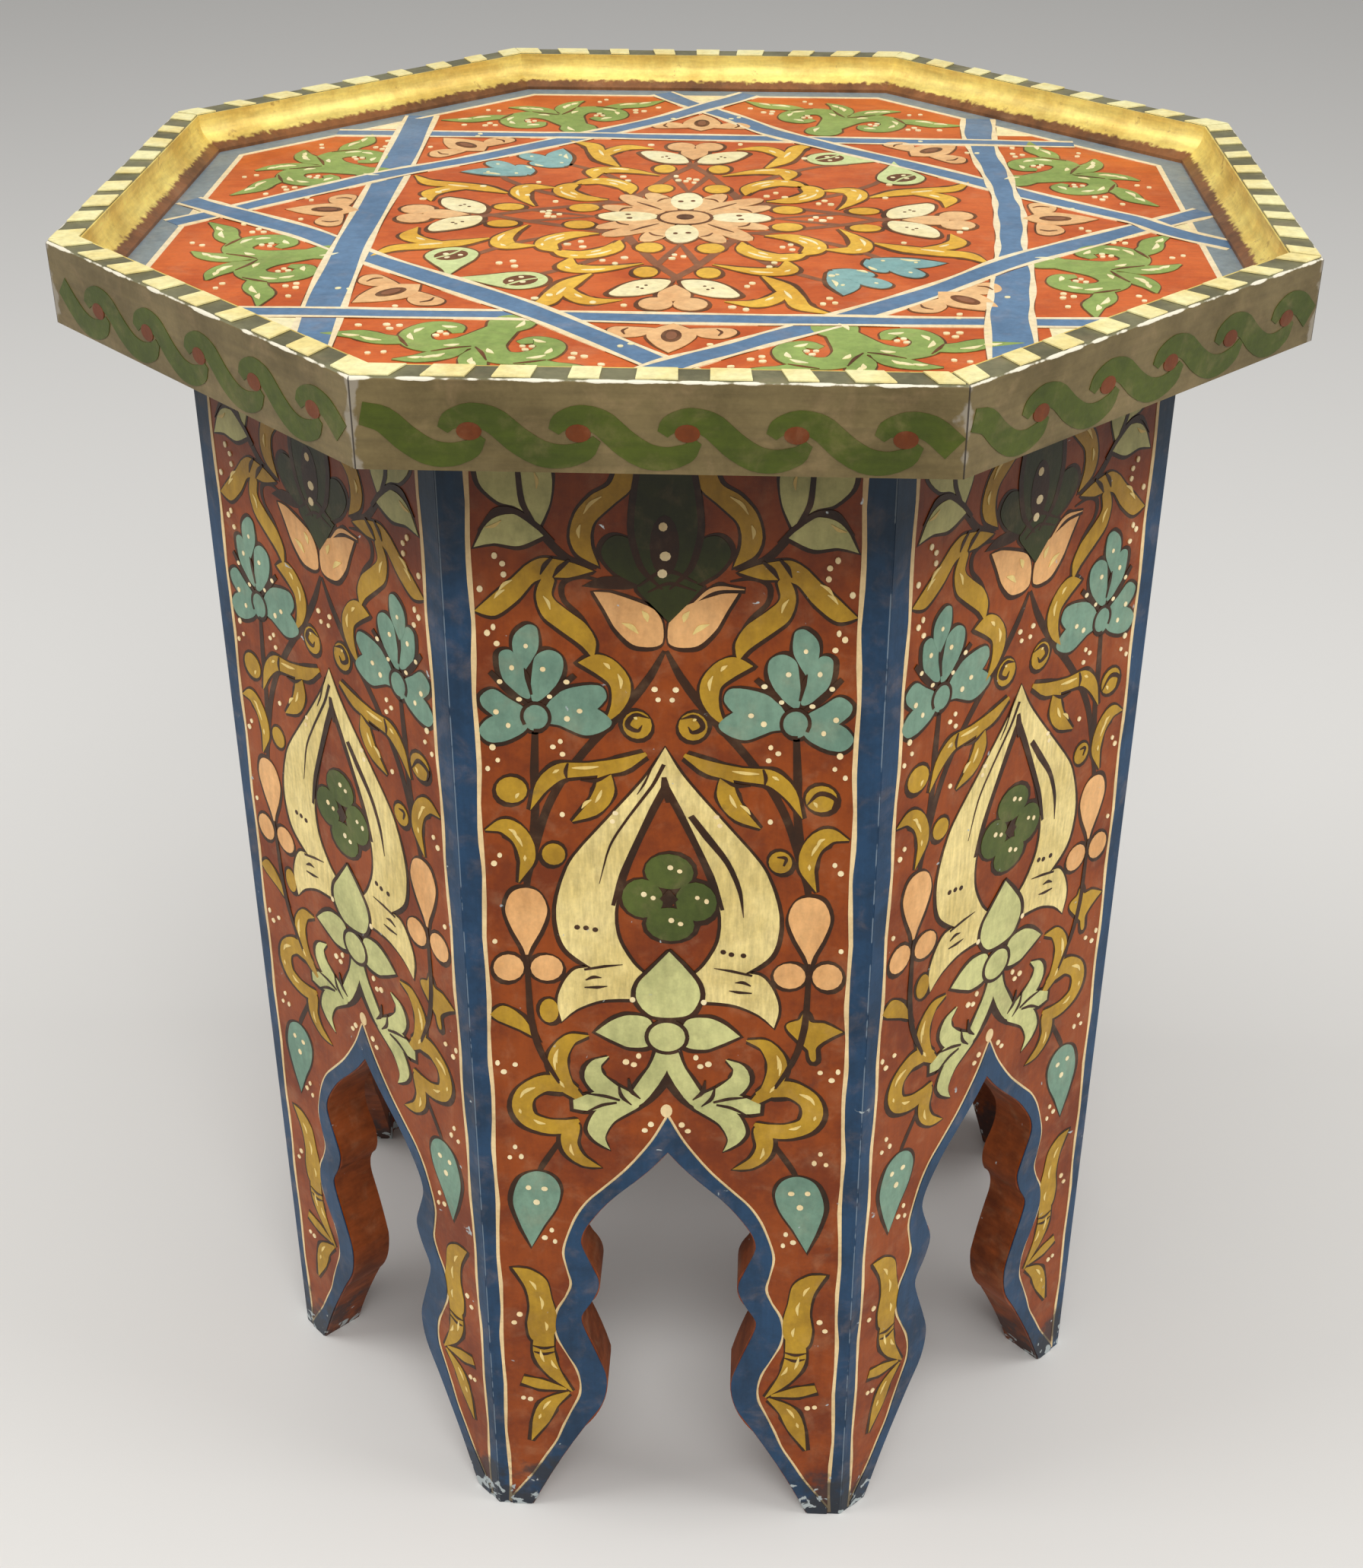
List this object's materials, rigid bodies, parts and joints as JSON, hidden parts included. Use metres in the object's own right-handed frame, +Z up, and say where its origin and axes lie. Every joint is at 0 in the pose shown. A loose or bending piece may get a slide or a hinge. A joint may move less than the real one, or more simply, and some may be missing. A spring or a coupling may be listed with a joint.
{
  "type": "octagonal side table",
  "caption": "Low octagonal painted side table: mitred boards with cusped arches carry a rimmed tray top.",
  "frame": {"origin": "on the floor, at the centre of the octagonal base", "axes": "+Z up; the first side board faces -Y, and flats of the octagon face X and Y"},
  "size_m": [0.37, 0.37, 0.445],
  "materials": {
    "painted_red_board": "brick-red paint on wood, satin varnish, worn at the edges",
    "painted_tray_board": "orange-red paint on wood, satin varnish",
    "painted_edging": "grey-brown paint on wood, worn along the rim",
    "gilded_cove": "rubbed gold paint on wood",
    "bare_pine": "planed softwood, unpainted",
    "steel_fixings": "plain steel",
    "paint_blue": "blue paint",
    "paint_cream": "cream paint",
    "paint_ochre": "ochre paint",
    "paint_green": "green paint",
    "paint_pink": "pink paint",
    "paint_dark": "dark brown outline paint"
  },
  "bodies": {
    "root": {"side_board_1": "painted_red_board", "side_board_2": "painted_red_board", "side_board_3": "painted_red_board", "side_board_4": "painted_red_board", "side_board_5": "painted_red_board", "side_board_6": "painted_red_board", "side_board_7": "painted_red_board", "side_board_8": "painted_red_board", "top_board": "painted_tray_board", "edging_strip_1": "painted_edging", "edging_strip_2": "painted_edging", "edging_strip_3": "painted_edging", "edging_strip_4": "painted_edging", "edging_strip_5": "painted_edging", "edging_strip_6": "painted_edging", "edging_strip_7": "painted_edging", "edging_strip_8": "painted_edging", "cove_strip_1": "gilded_cove", "cove_strip_2": "gilded_cove", "cove_strip_3": "gilded_cove", "cove_strip_4": "gilded_cove", "cove_strip_5": "gilded_cove", "cove_strip_6": "gilded_cove", "cove_strip_7": "gilded_cove", "cove_strip_8": "gilded_cove", "corner_block_1": "bare_pine", "corner_block_2": "bare_pine", "corner_block_3": "bare_pine", "corner_block_4": "bare_pine", "corner_block_5": "bare_pine", "corner_block_6": "bare_pine", "corner_block_7": "bare_pine", "corner_block_8": "bare_pine", "block_screws": "steel_fixings", "edging_pins": "steel_fixings"}
  },
  "joints": []
}
